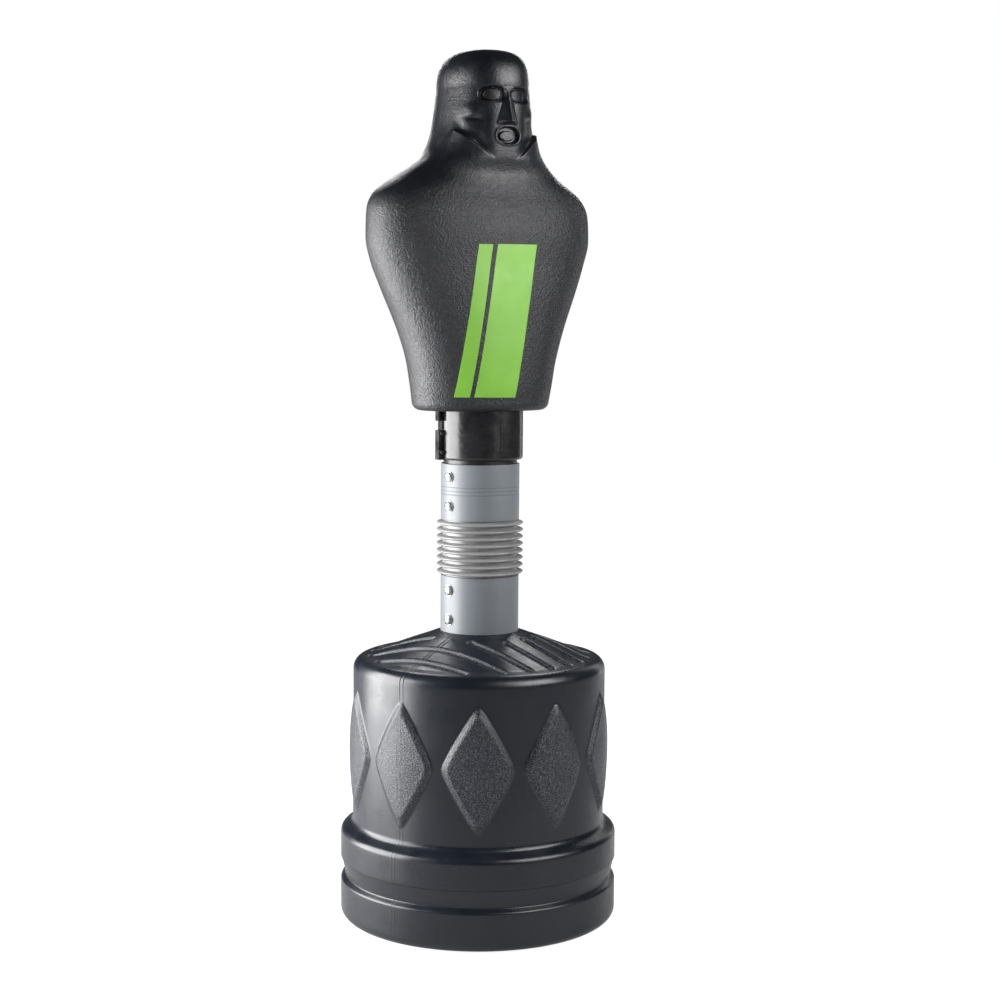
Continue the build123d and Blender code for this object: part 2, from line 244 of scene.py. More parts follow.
def bump(value, width):
    """Bell of height 1 and the given half width."""
    return np.exp(-np.square(np.asarray(value, float) / width))


def oval(x, z, centre, half, roundness=2.5):
    """Size of the rounded oval through each point: 1 on the oval itself, less inside it."""
    across = np.abs((x - centre[0]) / half[0]) ** roundness
    upright = np.abs((z - centre[1]) / half[1]) ** roundness
    return (across + upright) ** (1.0 / roundness)


def through(stations, values):
    """Curve through the values at rising stations, with no overshoot between them."""
    x = np.array(stations, float)
    y = np.array(values, float)
    step = np.diff(x)
    slope = np.diff(y) / step
    tangent = np.concatenate([[slope[0]], (slope[1:] + slope[:-1]) / 2, [slope[-1]]])
    turning = slope[1:] * slope[:-1] <= 0
    tangent[1:-1][turning] = 0.0
    steepest = 3.0 * np.minimum(np.abs(slope[1:]), np.abs(slope[:-1]))
    tangent[1:-1] = np.sign(tangent[1:-1]) * np.minimum(np.abs(tangent[1:-1]), steepest)

    def curve(at):
        at = np.asarray(at, float)
        i = np.clip(np.searchsorted(x, at) - 1, 0, len(x) - 2)
        t = np.clip((at - x[i]) / step[i], 0.0, 1.0)
        start = y[i] * (1 + 2 * t) * (1 - t) ** 2 + tangent[i] * step[i] * t * (1 - t) ** 2
        end = y[i + 1] * t * t * (3 - 2 * t) - tangent[i + 1] * step[i] * t * t * (1 - t)
        return start + end

    return curve


def spread(count, weight):
    """Angles round a full turn, closer together where weight(angle) is larger."""
    fine = np.linspace(-pi, pi, 20001)
    density = weight((fine[1:] + fine[:-1]) / 2)
    share = np.concatenate([[0.0], np.cumsum(density)])
    return np.interp(np.arange(count) / count, share / share[-1], fine)


def angle_gap(angle, centre_degrees):
    """Angle from a heading, between minus and plus half a turn."""
    return (angle - radians(centre_degrees) + pi) % (2 * pi) - pi


def rounded_outline(corners, closed=True):
    """Points along an outline of (x, y, fillet, spacing) corners, each fillet an arc."""
    count = len(corners)
    points = []
    for i, (x, y, fillet, spacing) in enumerate(corners):
        here = np.array([x, y])
        if not closed and i in (0, count - 1):
            arc = [here]
        else:
            back = np.array(corners[i - 1][:2]) - here
            ahead = np.array(corners[(i + 1) % count][:2]) - here
            arc = corner_arc(here, back, ahead, fillet)
        if points:
            points += run_between(points[-1], arc[0], corners[i - 1][3])
        points += arc
    if closed:
        points += run_between(points[-1], points[0], corners[-1][3])
    return np.array(points)


def corner_arc(here, back, ahead, fillet):
    """Points of the arc that rounds one corner, or the corner itself."""
    back = back / np.linalg.norm(back)
    ahead = ahead / np.linalg.norm(ahead)
    turn = pi - np.arccos(np.clip(back @ ahead, -1, 1))
    if fillet <= 0 or turn < 1e-4:
        return [here]
    reach = fillet * tan(turn / 2)
    centre = here + (back + ahead) / np.linalg.norm(back + ahead) * fillet / cos(turn / 2)
    steps = max(4, ceil(fillet * turn / 0.0026), ceil(turn / radians(12)))
    steps = min(steps, 36)
    first = here + back * reach - centre
    last = here + ahead * reach - centre
    points = []
    for k in range(steps + 1):
        share = k / steps
        arm = first * sin((1 - share) * turn) + last * sin(share * turn)
        points.append(centre + arm / sin(turn))
    return points


def run_between(start, end, spacing):
    """Points inside a straight run."""
    steps = max(1, ceil(np.linalg.norm(end - start) / spacing))
    return [start + (end - start) * k / steps for k in range(1, steps)]


def outline_normals(points):
    """Unit normals of a closed outline, to the left of its direction."""
    along = np.roll(points, -1, axis=0) - np.roll(points, 1, axis=0)
    normal = np.column_stack([-along[:, 1], along[:, 0]])
    return normal / np.linalg.norm(normal, axis=1)[:, None]


def about_axis(profile, angles):
    """Grid of points from (radius, height) profile rows turned to each heading."""
    radius = profile[:, 0][:, None]
    height = np.repeat(profile[:, 1][:, None], len(angles), axis=1)
    return np.stack([radius * np.sin(angles), -radius * np.cos(angles), height], axis=2)


def grid_mesh(name, points, closed_rows=False, poles=(None, None), attributes=None):
    """Mesh of a grid of rows that each close on themselves; poles close its first and last rows."""
    rows, columns = points.shape[:2]
    vertices = points.reshape(-1, 3)
    index = np.arange(rows * columns).reshape(rows, columns)
    upper = np.roll(index, -1, axis=0) if closed_rows else index[1:]
    lower = index if closed_rows else index[:-1]
    quads = np.stack([lower, np.roll(lower, -1, 1), np.roll(upper, -1, 1), upper], axis=2)
    faces = quads.reshape(-1, 4).tolist()
    for row, pole, flip in ((index[0], poles[0], True), (index[-1], poles[1], False)):
        if pole is None:
            continue
        tip = len(vertices)
        vertices = np.vstack([vertices, pole])
        for a, b in zip(row.tolist(), np.roll(row, -1).tolist()):
            faces.append([b, a, tip] if flip else [a, b, tip])
    mesh = bpy.data.meshes.new(name)
    mesh.from_pydata(vertices.tolist(), [], faces)
    if signed_volume(vertices, quads.reshape(-1, 4)) < 0:
        mesh.flip_normals()
    for title, values in (attributes or {}).items():
        values = np.concatenate([values.ravel(), np.zeros(len(vertices) - values.size)])
        layer = mesh.attributes.new(title, "FLOAT", "POINT")
        layer.data.foreach_set("value", values.astype(np.float32))
    mesh.shade_smooth()
    mesh.set_sharp_from_angle(angle=SHARP_ANGLE)
    return mesh


def signed_volume(vertices, quads):
    """Volume inside the quads, negative where they face inwards."""
    a, b, c, d = (vertices[quads[:, k]] for k in range(4))
    halves = np.einsum("ij,ij->i", a, np.cross(b, c)) + np.einsum("ij,ij->i", a, np.cross(c, d))
    return halves.sum() / 6.0


def add_piece(name, mesh, slot, body=None):
    """Object with its slot's material, attached to a body when one is given."""
    piece = bpy.data.objects.new(name, mesh)
    bpy.context.scene.collection.objects.link(piece)
    mesh.materials.append(MATERIALS[slot])
    if body:
        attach(piece, body)
    return piece


def axis_frame(origin, axis):
    """Matrix that stands a shape made about +Z on a tilted axis."""
    turn = Vector((0, 0, 1)).rotation_difference(Vector(axis).normalized())
    return Matrix.Translation(Vector(origin)) @ turn.to_matrix().to_4x4()


# ---------------------------------------------------------------- materials


class Surface:
    """A Principled material and the node chains that vary its colour, roughness and relief."""

    def __init__(self, name, roughness, metallic=0.0, **sockets):
        self.material = bpy.data.materials.new(name)
        self.material.use_nodes = True
        self.tree = self.material.node_tree
        self.shader = self.tree.nodes["Principled BSDF"]
        self.shader.inputs["Roughness"].default_value = roughness
        self.shader.inputs["Metallic"].default_value = metallic
        for title, value in sockets.items():
            self.shader.inputs[title.replace("_", " ")].default_value = value
        self.place = self.add("ShaderNodeTexCoord").outputs["Object"]
        self.relief = None

    def add(self, kind, **settings):
        node = self.tree.nodes.new(kind)
        for title, value in settings.items():
            setattr(node, title, value)
        return node

    def link(self, source, target):
        self.tree.links.new(source, target)

    def noise(self, scale, detail=3.0, roughness=0.5, stretch=None):
        """Noise value, about 0.5 on average; stretch multiplies the coordinates along each axis."""
        place = self.place
        if stretch:
            mapping = self.add("ShaderNodeMapping")
            mapping.inputs["Scale"].default_value = stretch
            self.link(self.place, mapping.inputs["Vector"])
            place = mapping.outputs["Vector"]
        node = self.add("ShaderNodeTexNoise")
        node.inputs["Scale"].default_value = scale
        node.inputs["Detail"].default_value = detail
        node.inputs["Roughness"].default_value = roughness
        self.link(place, node.inputs["Vector"])
        return node.outputs["Fac"]

    def attribute(self, name):
        return self.add("ShaderNodeAttribute", attribute_name=name).outputs["Fac"]

    def ranged(self, value, low, high, start=0.35, end=0.65):
        """Value taken from start..end to low..high."""
        node = self.add("ShaderNodeMapRange")
        for title, number in (("From Min", start), ("From Max", end), ("To Min", low), ("To Max", high)):
            node.inputs[title].default_value = number
        self.link(value, node.inputs["Value"])
        return node.outputs["Result"]

    def combined(self, operation, first, second):
        node = self.add("ShaderNodeMath", operation=operation)
        self.link(first, node.inputs[0])
        self.link(second, node.inputs[1])
        return node.outputs["Value"]

    def times(self, first, second):
        return self.combined("MULTIPLY", first, second)

    def sum(self, first, second):
        return self.combined("ADD", first, second)

    def mixed(self, share, first, second):
        """Colour between two colours, each a colour or an earlier result."""
        node = self.add("ShaderNodeMix", data_type="RGBA")
        self.link(share, node.inputs["Factor"])
        for title, colour in (("A", first), ("B", second)):
            socket = [s for s in node.inputs if s.name == title and s.type == "RGBA"][0]
            if isinstance(colour, tuple):
                socket.default_value = (*colour, 1.0)
            else:
                self.link(colour, socket)
        return [s for s in node.outputs if s.type == "RGBA"][0]

    def colour(self, source):
        self.link(source, self.shader.inputs["Base Color"])

    def roughness(self, source):
        self.link(source, self.shader.inputs["Roughness"])

    def raise_by(self, height, distance, strength=1.0):
        """Relief from a height value, added to any relief already there."""
        node = self.add("ShaderNodeBump")
        node.inputs["Distance"].default_value = distance
        node.inputs["Strength"].default_value = strength
        self.link(height, node.inputs["Height"])
        if self.relief is not None:
            self.link(self.relief, node.inputs["Normal"])
        self.relief = node.outputs["Normal"]
        self.link(self.relief, self.shader.inputs["Normal"])


def tank_plastic():
    """Blow-moulded plastic: satin, with a sprayed texture inside the pads and channels; light speckles in its
    colour there are painted glints on the grain.
    """
    surface = Surface("tank_plastic", 0.40)
    grain = surface.attribute("grain")
    sparkle = surface.noise(430, 2.0, 0.6)
    # Painted glints: light speckles where the grain's noise is high, inside the textured pads and channels.
    painted_glints = surface.times(surface.ranged(sparkle, 0.0, 1.0, 0.47, 0.66), grain)
    cloud = surface.noise(7, 4.0, 0.6)
    cloudy = surface.ranged(cloud, 0.0, 1.0)
    plain = surface.mixed(cloudy, (0.0030, 0.0048, 0.0095), (0.0055, 0.0080, 0.0140))
    surface.colour(surface.mixed(painted_glints, plain, (0.085, 0.09, 0.105)))
    surface.roughness(surface.ranged(surface.noise(22, 4.0, 0.6), 0.26, 0.36))
    surface.raise_by(surface.noise(900, 2.0), 0.00010, 0.5)
    surface.raise_by(surface.times(sparkle, grain), 0.0013, 1.0)
    return surface.material


def torso_vinyl():
    """Skinned foam: deep black, with a leathery grain that is stronger and duller below the neck."""
    surface = Surface("torso_vinyl", 0.42, Specular_IOR_Level=0.55)
    cloud = surface.noise(9, 4.0, 0.6)
    cloudy = surface.ranged(cloud, 0.0, 1.0)
    surface.colour(surface.mixed(cloudy, (0.0025, 0.0030, 0.0055), (0.0050, 0.0056, 0.0090)))
    height = surface.add("ShaderNodeSeparateXYZ")
    surface.link(surface.place, height.inputs[0])
    below_neck = surface.ranged(height.outputs["Z"], 1.0, 0.35, 1.46, 1.55)
    uneven = surface.ranged(surface.noise(60, 4.0, 0.65), 0.26, 0.36)
    surface.roughness(surface.sum(uneven, surface.ranged(below_neck, 0.0, 0.10, 0.0, 1.0)))
    surface.raise_by(surface.times(surface.noise(300, 3.0, 0.65), below_neck), 0.0017, 1.0)
    surface.raise_by(surface.times(surface.noise(130, 3.0, 0.6), below_neck), 0.0020, 0.7)
    return surface.material


def plain_plastic(name, dark, light, roughness, grain=700, relief=0.00012, streaks=None, **sockets):
    """Moulded or extruded plastic with cloudy colour, uneven gloss and a fine grain."""
    surface = Surface(name, roughness, **sockets)
    cloud = surface.noise(14, 3.0, 0.6, streaks)
    surface.colour(surface.mixed(surface.ranged(cloud, 0.0, 1.0), dark, light))
    uneven = surface.noise(45, 4.0, 0.6, streaks)
    surface.roughness(surface.ranged(uneven, roughness - 0.05, roughness + 0.06))
    surface.raise_by(surface.noise(grain, 2.0, 0.5, streaks), relief, 0.6)
    return surface.material


def bare_metal(name, dark, light, roughness, brush=None):
    """Plated or cast metal with small differences in tone and a brushed or pitted grain."""
    surface = Surface(name, roughness, metallic=1.0)
    tone = surface.ranged(surface.noise(90, 4.0, 0.6), 0.0, 1.0)
    surface.colour(surface.mixed(tone, dark, light))
    uneven = surface.noise(220, 3.0, 0.6, brush)
    surface.roughness(surface.ranged(uneven, roughness - 0.07, roughness + 0.10))
    surface.raise_by(surface.noise(1100, 2.0, 0.5, brush), 0.00006, 0.5)
    return surface.material


def open_foam():
    """Cut foam with open cells, with painted shade: darker colour in the cells' hollows."""
    surface = Surface("foam", 0.95)
    cells = surface.add("ShaderNodeTexVoronoi")
    cells.inputs["Scale"].default_value = 550
    surface.link(surface.place, cells.inputs["Vector"])
    depth = surface.ranged(cells.outputs["Distance"], 0.0, 1.0, 0.0, 0.6)
    # Painted shade: the colour darkens towards each cell's middle, where the relief sinks.
    surface.colour(surface.mixed(depth, (0.45, 0.41, 0.28), (0.62, 0.58, 0.44)))
    surface.raise_by(depth, 0.0006, 0.8)
    return surface.material


LENGTHWISE = (1.0, 1.0, 0.03)
MATERIALS = {
    "tank_plastic": tank_plastic(),
    "torso_vinyl": torso_vinyl(),
    "cap_plastic": plain_plastic("cap_plastic", (0.009, 0.009, 0.010), (0.014, 0.014, 0.015), 0.38),
    "clamp_plastic": plain_plastic(
        "clamp_plastic", (0.006, 0.006, 0.007), (0.011, 0.011, 0.012), 0.24, 110, 0.0002
    ),
    "core_plastic": plain_plastic("core_plastic", (0.05, 0.05, 0.05), (0.08, 0.08, 0.08), 0.5),
    "sleeve_plastic": plain_plastic(
        "sleeve_plastic", (0.130, 0.144, 0.160), (0.146, 0.160, 0.176), 0.44, 500, 0.0002, LENGTHWISE
    ),
    "bellows_rubber": plain_plastic(
        "bellows_rubber", (0.205, 0.206, 0.204), (0.255, 0.256, 0.252), 0.30, 400
    ),
    "seal_rubber": plain_plastic("seal_rubber", (0.010, 0.010, 0.010), (0.018, 0.018, 0.018), 0.65),
    "stripe_green": plain_plastic(
        "stripe_green", (0.155, 0.385, 0.030), (0.180, 0.420, 0.040), 0.45, 600, 0.00015
    ),
    "zinc_steel": bare_metal("zinc_steel", (0.34, 0.34, 0.34), (0.50, 0.50, 0.49), 0.30),
    "seat_aluminium": bare_metal("seat_aluminium", (0.52, 0.53, 0.54), (0.66, 0.67, 0.68), 0.42),
    # Near black: painted shade for the shaded gap between the clamp and the upper sleeve, where the post shows.
    "post_steel": plain_plastic(
        "post_steel", (0.008, 0.008, 0.009), (0.014, 0.014, 0.015), 0.36, 300, 0.0002
    ),
    "spring_steel": plain_plastic(
        "spring_steel", (0.012, 0.012, 0.014), (0.03, 0.03, 0.032), 0.30, 250, 0.0002
    ),
    "foam": open_foam(),
}


# ---------------------------------------------------------------- tank


def capsule_distance(u, v, first, last):
    """Distance from the stretch first..last of the u axis."""
    beyond = np.maximum(np.maximum(first - u, u - last), 0.0)
    return np.hypot(beyond, v)


def channel_field(x, y):
    """How far inside the nearest dome channel each point is, negative outside."""
    heading = radians(CHANNEL_HEADING)
    u = x * sin(heading) - y * cos(heading)
    v = x * cos(heading) + y * sin(heading)
    inside = np.full(x.shape, -1.0)
    for k in range(-CHANNEL_SIDE, CHANNEL_SIDE + 1):
        offset = k * CHANNEL_PITCH
        end = (CHANNEL_OUTER_R**2 - offset**2) ** 0.5 - CHANNEL_HALF_WIDTH
        start = -end
        sides = (1,)
        if abs(offset) < CHANNEL_INNER_R:
            start = (CHANNEL_INNER_R**2 - offset**2) ** 0.5 + CHANNEL_HALF_WIDTH
            sides = (1, -1)
        for side in sides:
            near = capsule_distance(side * u, v - offset, start, end)
            inside = np.maximum(inside, CHANNEL_HALF_WIDTH - near)
    return inside


def pad_field(angles, height):
    """How far inside the nearest rhombus pad each point is, negative outside."""
    pitch = 2 * pi / PAD_COUNT
    gap = (angle_gap(angles, PAD_HEADING) + pitch / 2) % pitch - pitch / 2
    across = np.hypot(gap * BODY_R, PAD_CORNER[0]) - PAD_CORNER[0]
    upright = np.hypot(height - PAD_Z, PAD_CORNER[1]) - PAD_CORNER[1]
    size = oval(across, upright, (0.0, 0.0), (PAD_HALF_WIDTH, PAD_HALF_HEIGHT), 1.03)
    slant = PAD_HALF_WIDTH * PAD_HALF_HEIGHT / np.hypot(PAD_HALF_WIDTH, PAD_HALF_HEIGHT)
    return (1.0 - size) * slant


def tank_relief(x, y, angles, height, radius, boss):
    """Outward relief of the tank's skin and how strongly its sprayed texture shows."""
    pad = pad_field(angles, height)
    on_body = (height > BODY_LOW) & (height < BODY_HIGH) & (radius > BODY_R - 0.002)
    pads = PAD_PROUD * smooth(0.0, PAD_BEVEL, pad) + PAD_CROWN * smooth(PAD_BEVEL, PAD_CROWN_REACH, pad)
    relief = np.where(on_body, pads, 0.0)
    grain = np.where(on_body, smooth(0.0005, 0.0045, pad), 0.0)

    on_dome = (height > DOME_LOW) & (radius > SLEEVE_R)
    from_boss = np.hypot(x - boss[0], y - boss[1])
    clear = smooth(BOSS_R + BOSS_CLEAR[0], BOSS_R + BOSS_CLEAR[1], from_boss)
    channel = channel_field(x, y)
    relief -= np.where(on_dome, CHANNEL_DEPTH * smooth(-0.001, CHANNEL_BEVEL, channel) * clear, 0.0)
    grain += np.where(on_dome, smooth(-0.0015, 0.002, channel) * clear, 0.0)
    relief += np.where(on_dome, BOSS_PROUD * (1.0 - smooth(BOSS_R - BOSS_EDGE, BOSS_R, from_boss)), 0.0)

    outside = (radius > 0.1) & (height > 0.02)
    heading = radians(FLASH_HEADING)
    across = x * cos(heading) + y * sin(heading)
    ridges = bump(across - FLASH_SPACING, FLASH_WIDTH) + bump(across + FLASH_SPACING, FLASH_WIDTH)
    fade = 0.25 + 0.5 * smooth(0.48, 0.53, height)
    relief += np.where(outside, FLASH_PROUD * ridges * fade, 0.0)

    waves = np.sin(3 * angles + 9 * height) + 0.6 * np.sin(7 * angles - 17 * height + 1.0)
    relief += np.where(outside & (radius < BODY_R + 0.003), WALL_WAVE * waves, 0.0)
    return relief, grain


def flash_weight(angles):
    """Columns stand closer together beside the mould's parting plane."""
    near = bump(angle_gap(angles, FLASH_HEADING), radians(2.4))
    far = bump(angle_gap(angles, FLASH_HEADING + 180), radians(2.4))
    return 1.0 + 3.5 * (near + far)


def make_tank():
    boss = cap_joint()[0]
    angles = spread(TANK_COLUMNS, flash_weight)
    profile = rounded_outline(TANK_OUTLINE)
    normal = outline_normals(profile)
    points = about_axis(profile, angles)
    turned = np.broadcast_to(angles, points.shape[:2])
    radius = np.broadcast_to(profile[:, 0][:, None], points.shape[:2])
    relief, grain = tank_relief(points[..., 0], points[..., 1], turned, points[..., 2], radius, boss)
    outward = about_axis(normal, angles)
    points = points + outward * relief[..., None]
    mesh = grid_mesh("tank_shell", points, closed_rows=True, attributes={"grain": grain})
    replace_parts(add_piece("tank_shell", mesh, "tank_plastic", "base"), "base_tank")


# ---------------------------------------------------------------- filler


def cap_joint():
    """Place and axis of the joint that the filler cap turns on."""
    joint = [j for j in frame["joints"] if j["name"] == "cap_turn"][0]
    return joint["pos_m"], joint["axis"]


def make_spout():
    """Threaded spout: a turned tube whose outer wall carries the cap's thread."""
    angles = np.linspace(0, 2 * pi, SPOUT_COLUMNS, endpoint=False)
    outline = rounded_outline([
        (SPOUT_BORE_R, SPOUT_ROOT, 0.0, 0.01),
        (SPOUT_R, SPOUT_ROOT, 0.0, 0.0006),
        (SPOUT_R, SPOUT_HEIGHT, 0.001, 0.01),
        (SPOUT_BORE_R, SPOUT_HEIGHT, 0.001, 0.01),
    ])
    points = about_axis(outline, angles)
    height = points[..., 2]
    turn = (height / THREAD_PITCH - angles / (2 * pi)) % 1.0
    threaded = (outline[:, 0][:, None] > SPOUT_R - 0.0005) & (height > 0.003) & (height < 0.013)
    grow = np.where(threaded, THREAD_PROUD * bump(turn - 0.5, 0.22), 0.0) / SPOUT_R
    points[..., :2] *= (1.0 + grow)[..., None]
    mesh = grid_mesh("filler_spout", points, closed_rows=True)
    mesh.transform(axis_frame(*cap_joint()))
    add_piece("filler_spout", mesh, "tank_plastic", "base")


def make_cap():
    """Fluted cap, hollow below, with a bar to grip it by."""
    angles = np.linspace(0, 2 * pi, CAP_FLUTES * 8, endpoint=False)
    outline = rounded_outline([
        (0.0008, CAP_ROOF, 0.0, 0.008),
        (CAP_BORE_R, CAP_ROOF, 0.001, 0.004),
        (CAP_BORE_R, CAP_LOW, 0.0005, 0.004),
        (CAP_R, CAP_LOW, 0.0008, 0.003),
        (CAP_R, CAP_TOP, 0.0022, 0.006),
        (0.0008, CAP_TOP, 0.0, 0.001),
    ], closed=False)
    points = about_axis(outline, angles)
    side = smooth(CAP_R - 0.001, CAP_R, outline[:, 0])[:, None]
    flute = CAP_FLUTE_DEPTH * (0.5 + 0.5 * np.cos(CAP_FLUTES * angles))[None, :]
    points[..., :2] *= (1.0 - side * flute / CAP_R)[..., None]
    ends = ((0.0, 0.0, CAP_ROOF), (0.0, 0.0, CAP_TOP))
    mesh = grid_mesh("filler_cap_fluted", points, poles=ends)
    placed = axis_frame(*cap_joint())
    mesh.transform(placed)
    cap = add_piece("filler_cap_fluted", mesh, "cap_plastic", "cap")
    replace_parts(cap, "filler_cap")
    grip = rounded_block("filler_cap_grip", CAP_GRIP, 0.0018)
    grip.transform(placed @ Matrix.Translation((0, 0, CAP_TOP + CAP_GRIP[2] / 2 - 0.0005)))
    add_piece("filler_cap_grip", grip, "cap_plastic", "cap")


def rounded_block(name, size, radius):
    """Block with all its edges rounded: a sphere's grid pushed out to the block's corners."""
    steps = 64
    push = 40
    turn = np.linspace(0, 2 * pi, steps, endpoint=False)
    tilt = np.linspace(-pi / 2, pi / 2, steps // 2 + 1)[1:-1]
    direction = np.stack([
        np.cos(tilt)[:, None] * np.cos(turn),
        np.cos(tilt)[:, None] * np.sin(turn),
        np.repeat(np.sin(tilt)[:, None], steps, axis=1),
    ], axis=2)
    inner = np.array(size) / 2 - radius
    reach = np.clip(direction * push, -1, 1)
    points = reach * inner + direction * radius
    half = size[2] / 2
    return grid_mesh(name, points, poles=((0, 0, -half), (0, 0, half)))


# ---------------------------------------------------------------- column


def make_sleeve(name, low, high, grooves, body):
    """Extruded sleeve with eased edges and any fine grooves round it."""
    depth, width = FINE_GROOVE
    corners = [
        (SLEEVE_BORE_R, low, SLEEVE_EDGE / 2, 0.02),
        (SLEEVE_R, low, SLEEVE_EDGE, 0.02),
    ]
    for z in grooves:
        corners += [
            (SLEEVE_R, z - width / 2, 0.0003, 0.001),
            (SLEEVE_R - depth, z - width / 4, 0.0002, 0.001),
            (SLEEVE_R - depth, z + width / 4, 0.0002, 0.001),
            (SLEEVE_R, z + width / 2, 0.0003, 0.02),
        ]
    corners += [
        (SLEEVE_R, high, SLEEVE_EDGE, 0.02),
        (SLEEVE_BORE_R, high, SLEEVE_EDGE / 2, 0.03),
    ]
    angles = np.linspace(0, 2 * pi, SLEEVE_COLUMNS, endpoint=False)
    mesh = grid_mesh(name + "_tube", about_axis(rounded_outline(corners), angles), closed_rows=True)
    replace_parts(add_piece(name + "_tube", mesh, "sleeve_plastic", body), name)


def ring_radius(offset):
    """Outer radius of the bellows at a height from its middle: round rings between flat valleys."""
    share = np.abs(((offset / RING_PITCH) % 1.0) * 2 - 1)
    swell = np.clip(1 - (share / RING_SHARE) ** 2, 0, 1) ** RING_FULLNESS
    return VALLEY_R + (RING_R - VALLEY_R) * swell


def make_bellows(name, side):
    """Half of the bellows, from its cuff inside a sleeve to the middle of the neck."""
    rings_end = RING_COUNT / 2 * RING_PITCH
    share = (1 - np.cos(np.linspace(0, pi, 19))) / 2
    steps = np.concatenate([(k + share[:-1]) * RING_PITCH for k in range(RING_COUNT // 2)] + [[rings_end]])
    outer = [(ring_radius(z), z) for z in steps]
    cuff = [(CUFF_R, rings_end), (CUFF_R, CUFF_REACH - 0.001), (CUFF_R - 0.001, CUFF_REACH)]
    lip = [(CUFF_INNER_R + 0.001, CUFF_REACH), (CUFF_INNER_R, CUFF_REACH - 0.001), (CUFF_INNER_R, rings_end)]
    inner = [(r - RING_WALL, z) for r, z in reversed(outer[1:-1])]
    inner += [(VALLEY_R - BELLOWS_WALL, 0.0)]
    profile = np.array(outer + cuff + lip + inner)
    profile[:, 1] = MID + side * profile[:, 1]
    angles = np.linspace(0, 2 * pi, BELLOWS_COLUMNS, endpoint=False)
    mesh = grid_mesh(name, about_axis(profile, angles), closed_rows=True)
    piece = add_piece(name, mesh, "bellows_rubber")
    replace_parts(piece, "bellows")
    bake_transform(piece)


def make_spring(name, side):
    """Half of the coil spring: three turns of round wire."""
    travel = np.linspace(0, SPRING_HALF - WIRE_R, 220)
    turn = 2 * pi * travel / COIL_PITCH * side
    centre = np.stack([COIL_R * np.sin(turn), -COIL_R * np.cos(turn), MID + side * travel], axis=1)
    along = np.gradient(centre, axis=0)
    along /= np.linalg.norm(along, axis=1)[:, None]
    outward = np.stack([np.sin(turn), -np.cos(turn), np.zeros_like(turn)], axis=1)
    across = np.cross(along, outward)
    wire = np.linspace(0, 2 * pi, 20, endpoint=False)
    points = (
        centre[:, None, :]
        + WIRE_R * np.cos(wire)[None, :, None] * outward[:, None, :]
        + WIRE_R * np.sin(wire)[None, :, None] * across[:, None, :]
    )
    mesh = grid_mesh(name, points, poles=(centre[0], centre[-1]))
    piece = add_piece(name, mesh, "spring_steel")
    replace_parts(piece, "coil_spring")
    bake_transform(piece)


def make_column():
    for name, grooves, body in (("lower_sleeve", (), "base"), ("upper_sleeve", FINE_GROOVES, "torso")):
        low, high = (corner.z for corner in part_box(name))
        make_sleeve(name, low, high, grooves, body)
    make_bellows("bellows_lower", -1)
    make_bellows("bellows_upper", 1)
    make_spring("spring_lower", -1)
    make_spring("spring_upper", 1)


# ---------------------------------------------------------------- torso


HEIGHTS = [section[0] for section in TORSO_SECTIONS]
half_breadth = through(HEIGHTS, [section[1] for section in TORSO_SECTIONS])
half_depth = through(HEIGHTS, [section[2] for section in TORSO_SECTIONS])
forward_shift = through(HEIGHTS, [section[3] for section in TORSO_SECTIONS])
SIGHT_COS = cos(radians(SIGHT_HEADING))
SIGHT_SIN = abs(sin(radians(SIGHT_HEADING)))


def torso_section(z, crown=1.0):
    """Half breadth, half depth and forward shift of the section at a height."""
    a, b = half_breadth(z), half_depth(z)
    partner = TORSO_ROUNDNESS / (TORSO_ROUNDNESS - 1)
    reach = ((a * SIGHT_COS) ** partner + (b * SIGHT_SIN) ** partner) ** (1 / partner)
    trim = np.hypot(a * SIGHT_COS, b * SIGHT_SIN) / reach
    return a * trim * crown, b * trim * crown, forward_shift(z) + CROWN_FORWARD * (1 - crown)


def section_ring(a, b, forward, z, angles):
    """Points of one section of the torso."""
    power = 2 / TORSO_ROUNDNESS
    x = a * np.sign(np.cos(angles)) * np.abs(np.cos(angles)) ** power
    y = b * np.sign(np.sin(angles)) * np.abs(np.sin(angles)) ** power - forward
    return np.stack([x, y, np.full_like(x, z)], axis=1)


def front_weight(angles):
    """Columns stand closer together on the face and beside the side parting lines."""
    face = bump(angle_gap(angles, -90), radians(48))
    sides = bump(angle_gap(angles, 0), radians(1.6)) + bump(angle_gap(angles, 180), radians(1.6))
    return 1.0 + 2.4 * face + 3.0 * sides


def eye_relief(x, z):
    """Sunken eyes, each with a raised pad inside a rim."""
    socket = oval(np.abs(x), z, EYE, EYE_HALF, 2.6)
    pad = oval(np.abs(x), z, EYE, EYE_PAD_HALF, 2.6)
    sunk = -EYE_DEPTH * (1 - smooth(0.88, 1.04, socket))
    raised = (EYE_DEPTH - EYE_PAD_DEPTH) * (1 - smooth(0.92, 1.12, pad))
    rim = 0.0009 * bump(pad - 0.93, 0.07)
    return sunk + raised + rim


def nose_relief(x, z):
    """Wedge that widens and stands out from the bridge to the tip."""
    down = np.clip((NOSE_BRIDGE_Z - z) / (NOSE_BRIDGE_Z - NOSE_TIP_Z), 0.0, 1.08)
    width = NOSE_HALF_WIDTHS[0] + (NOSE_HALF_WIDTHS[1] - NOSE_HALF_WIDTHS[0]) * down**1.25
    proud = NOSE_PROUD[0] + (NOSE_PROUD[1] - NOSE_PROUD[0]) * down**1.1
    side = np.clip(1.0 - np.hypot(x, 0.0035) / width, 0.0, 1.0)
    ridge = np.sqrt(side * side + 0.02) - np.sqrt(0.02)
    blunt = ridge / (np.sqrt(1.02) - np.sqrt(0.02))
    upper = smooth(NOSE_BRIDGE_Z + 0.006, NOSE_BRIDGE_Z - 0.022, z)
    under = smooth(NOSE_TIP_Z - 0.0065, NOSE_TIP_Z + 0.0005, z)
    return proud * blunt * upper * under


